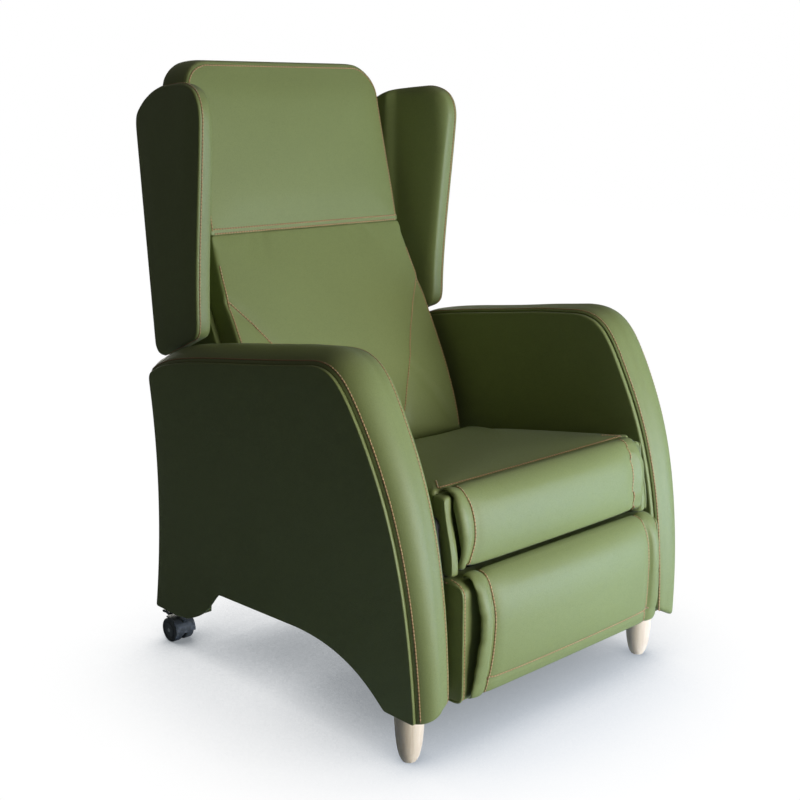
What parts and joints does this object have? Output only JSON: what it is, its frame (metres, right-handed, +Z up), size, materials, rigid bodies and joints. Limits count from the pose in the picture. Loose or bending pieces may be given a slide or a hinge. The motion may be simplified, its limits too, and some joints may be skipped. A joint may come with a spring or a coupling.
{
  "type": "recliner",
  "caption": "Wing-back push-back recliner in green leatherette with padded arms, a lifting leg rest, turned wooden front feet and braked twin-wheel rear castors.",
  "frame": {"origin": "on the floor under the middle of the chair's bounding box", "axes": "+X towards the sitter's left, +Y towards the back of the chair, +Z up; the chair faces -Y"},
  "size_m": [0.7694, 0.88, 1.15],
  "materials": {
    "upholstery": "satin moss-green leatherette with a fine grain",
    "frame_timber": "sanded softwood and plywood",
    "beech": "pale matt-lacquered beech",
    "bright_steel": "zinc-plated",
    "black_steel": "satin black paint",
    "webbing": "woven elastic webbing",
    "felt": "black non-woven felt",
    "nylon": "natural nylon",
    "castor_plastic": "dark blue-grey moulded nylon"
  },
  "bodies": {
    "frame": {"side_frame_left": "frame_timber", "side_frame_right": "frame_timber", "arm_band_left": "upholstery", "arm_band_right": "upholstery", "arm_outer_panel_left": "upholstery", "arm_outer_panel_right": "upholstery", "arm_inner_panel_left": "upholstery", "arm_inner_panel_right": "upholstery", "front_cross_rail": "frame_timber", "rear_cross_rail": "frame_timber", "rear_tie_rail": "frame_timber", "rail_bolts": "bright_steel", "seat_frame": "frame_timber", "seat_webbing": "webbing", "seat_cushion": "upholstery", "seat_facing": "upholstery", "seat_front_pad": "upholstery", "seat_dust_cover": "felt", "leg_rest_brackets": "black_steel", "back_pivot_bolts": "bright_steel", "front_foot_left": "beech", "front_foot_right": "beech", "foot_bolts": "bright_steel", "castor_mount_left": "black_steel", "castor_mount_right": "black_steel", "gas_spring_bracket": "black_steel"},
    "backrest": {"back_frame": "frame_timber", "back_webbing": "webbing", "lumbar_cushion": "upholstery", "head_cushion": "upholstery", "rear_cover": "upholstery", "back_side_cover_left": "upholstery", "back_side_cover_right": "upholstery", "wing_core_left": "frame_timber", "wing_core_right": "frame_timber", "wing_pad_left": "upholstery", "wing_pad_right": "upholstery", "wing_bolts": "bright_steel", "back_hinge_plate_left": "black_steel", "back_hinge_plate_right": "black_steel", "back_pivot_bushes": "nylon", "gas_spring_lug": "black_steel"},
    "leg_rest": {"leg_rest_box": "upholstery", "leg_rest_pad": "upholstery", "leg_rest_plate_left": "black_steel", "leg_rest_plate_right": "black_steel"},
    "push_rod_left": {"push_rod_left": "bright_steel"},
    "push_rod_right": {"push_rod_right": "bright_steel"},
    "gas_cylinder": {"gas_cylinder": "black_steel"},
    "gas_rod": {"gas_rod": "bright_steel"},
    "castor_left": {"castor_hood_left": "castor_plastic", "castor_axle_left": "bright_steel"},
    "castor_outer_wheel_left": {"castor_outer_wheel_left": "castor_plastic"},
    "castor_inner_wheel_left": {"castor_inner_wheel_left": "castor_plastic"},
    "castor_brake_left": {"castor_brake_left": "castor_plastic"},
    "castor_right": {"castor_hood_right": "castor_plastic", "castor_axle_right": "bright_steel"},
    "castor_outer_wheel_right": {"castor_outer_wheel_right": "castor_plastic"},
    "castor_inner_wheel_right": {"castor_inner_wheel_right": "castor_plastic"},
    "castor_brake_right": {"castor_brake_right": "castor_plastic"}
  },
  "joints": [
    {"name": "recline", "type": "hinge", "parent": "frame", "child": "backrest", "pos_m": [0, 0.207, 0.36], "axis": [-1, 0, 0], "range_deg": [0, 40]},
    {"name": "leg_rest_lift", "type": "hinge", "parent": "frame", "child": "leg_rest", "pos_m": [0, -0.335, 0.4], "axis": [-1, 0, 0], "range_deg": [0, 80.5]},
    {"name": "push_rod_swing_left", "type": "hinge", "parent": "backrest", "child": "push_rod_left", "pos_m": [0.2736, 0.2039, 0.29], "axis": [-1, 0, 0], "range_deg": [-41.5, 0.5]},
    {"name": "push_rod_swing_right", "type": "hinge", "parent": "backrest", "child": "push_rod_right", "pos_m": [-0.2736, 0.2039, 0.29], "axis": [-1, 0, 0], "range_deg": [-41.5, 0.5]},
    {"name": "gas_spring_swing", "type": "hinge", "parent": "frame", "child": "gas_cylinder", "pos_m": [0, -0.00878, 0.23754], "axis": [-1, 0, 0], "range_deg": [-7, 0.5]},
    {"name": "gas_spring_slide", "type": "slide", "parent": "gas_cylinder", "child": "gas_rod", "axis": [0, -0.9786, -0.2059], "range_m": [0, 0.047]},
    {"name": "castor_swivel_left", "type": "hinge", "parent": "frame", "child": "castor_left", "pos_m": [0.315, 0.328, 0.06], "axis": [0, 0, 1], "continuous": true},
    {"name": "castor_outer_roll_left", "type": "hinge", "parent": "castor_left", "child": "castor_outer_wheel_left", "pos_m": [0.315, 0.35, 0.025], "axis": [1, 0, 0], "continuous": true},
    {"name": "castor_inner_roll_left", "type": "hinge", "parent": "castor_left", "child": "castor_inner_wheel_left", "pos_m": [0.315, 0.35, 0.025], "axis": [1, 0, 0], "continuous": true},
    {"name": "castor_brake_press_left", "type": "hinge", "parent": "castor_left", "child": "castor_brake_left", "pos_m": [0.315, 0.36555, 0.05193], "axis": [-1, 0, 0], "range_deg": [0, 12]},
    {"name": "castor_swivel_right", "type": "hinge", "parent": "frame", "child": "castor_right", "pos_m": [-0.315, 0.328, 0.06], "axis": [0, 0, 1], "continuous": true},
    {"name": "castor_outer_roll_right", "type": "hinge", "parent": "castor_right", "child": "castor_outer_wheel_right", "pos_m": [-0.315, 0.35, 0.025], "axis": [1, 0, 0], "continuous": true},
    {"name": "castor_inner_roll_right", "type": "hinge", "parent": "castor_right", "child": "castor_inner_wheel_right", "pos_m": [-0.315, 0.35, 0.025], "axis": [1, 0, 0], "continuous": true},
    {"name": "castor_brake_press_right", "type": "hinge", "parent": "castor_right", "child": "castor_brake_right", "pos_m": [-0.315, 0.36555, 0.05193], "axis": [-1, 0, 0], "range_deg": [0, 12]}
  ],
  "couplings": [
    {"joint": "leg_rest_lift", "follows": "recline", "ratio": 2},
    {"joint": "push_rod_swing_left", "follows": "recline", "ratio": -1.026},
    {"joint": "push_rod_swing_right", "follows": "recline", "ratio": -1.026},
    {"joint": "gas_spring_swing", "follows": "recline", "ratio": -0.16547},
    {"joint": "gas_spring_slide", "follows": "recline", "m_per_rad": 0.065962}
  ]
}
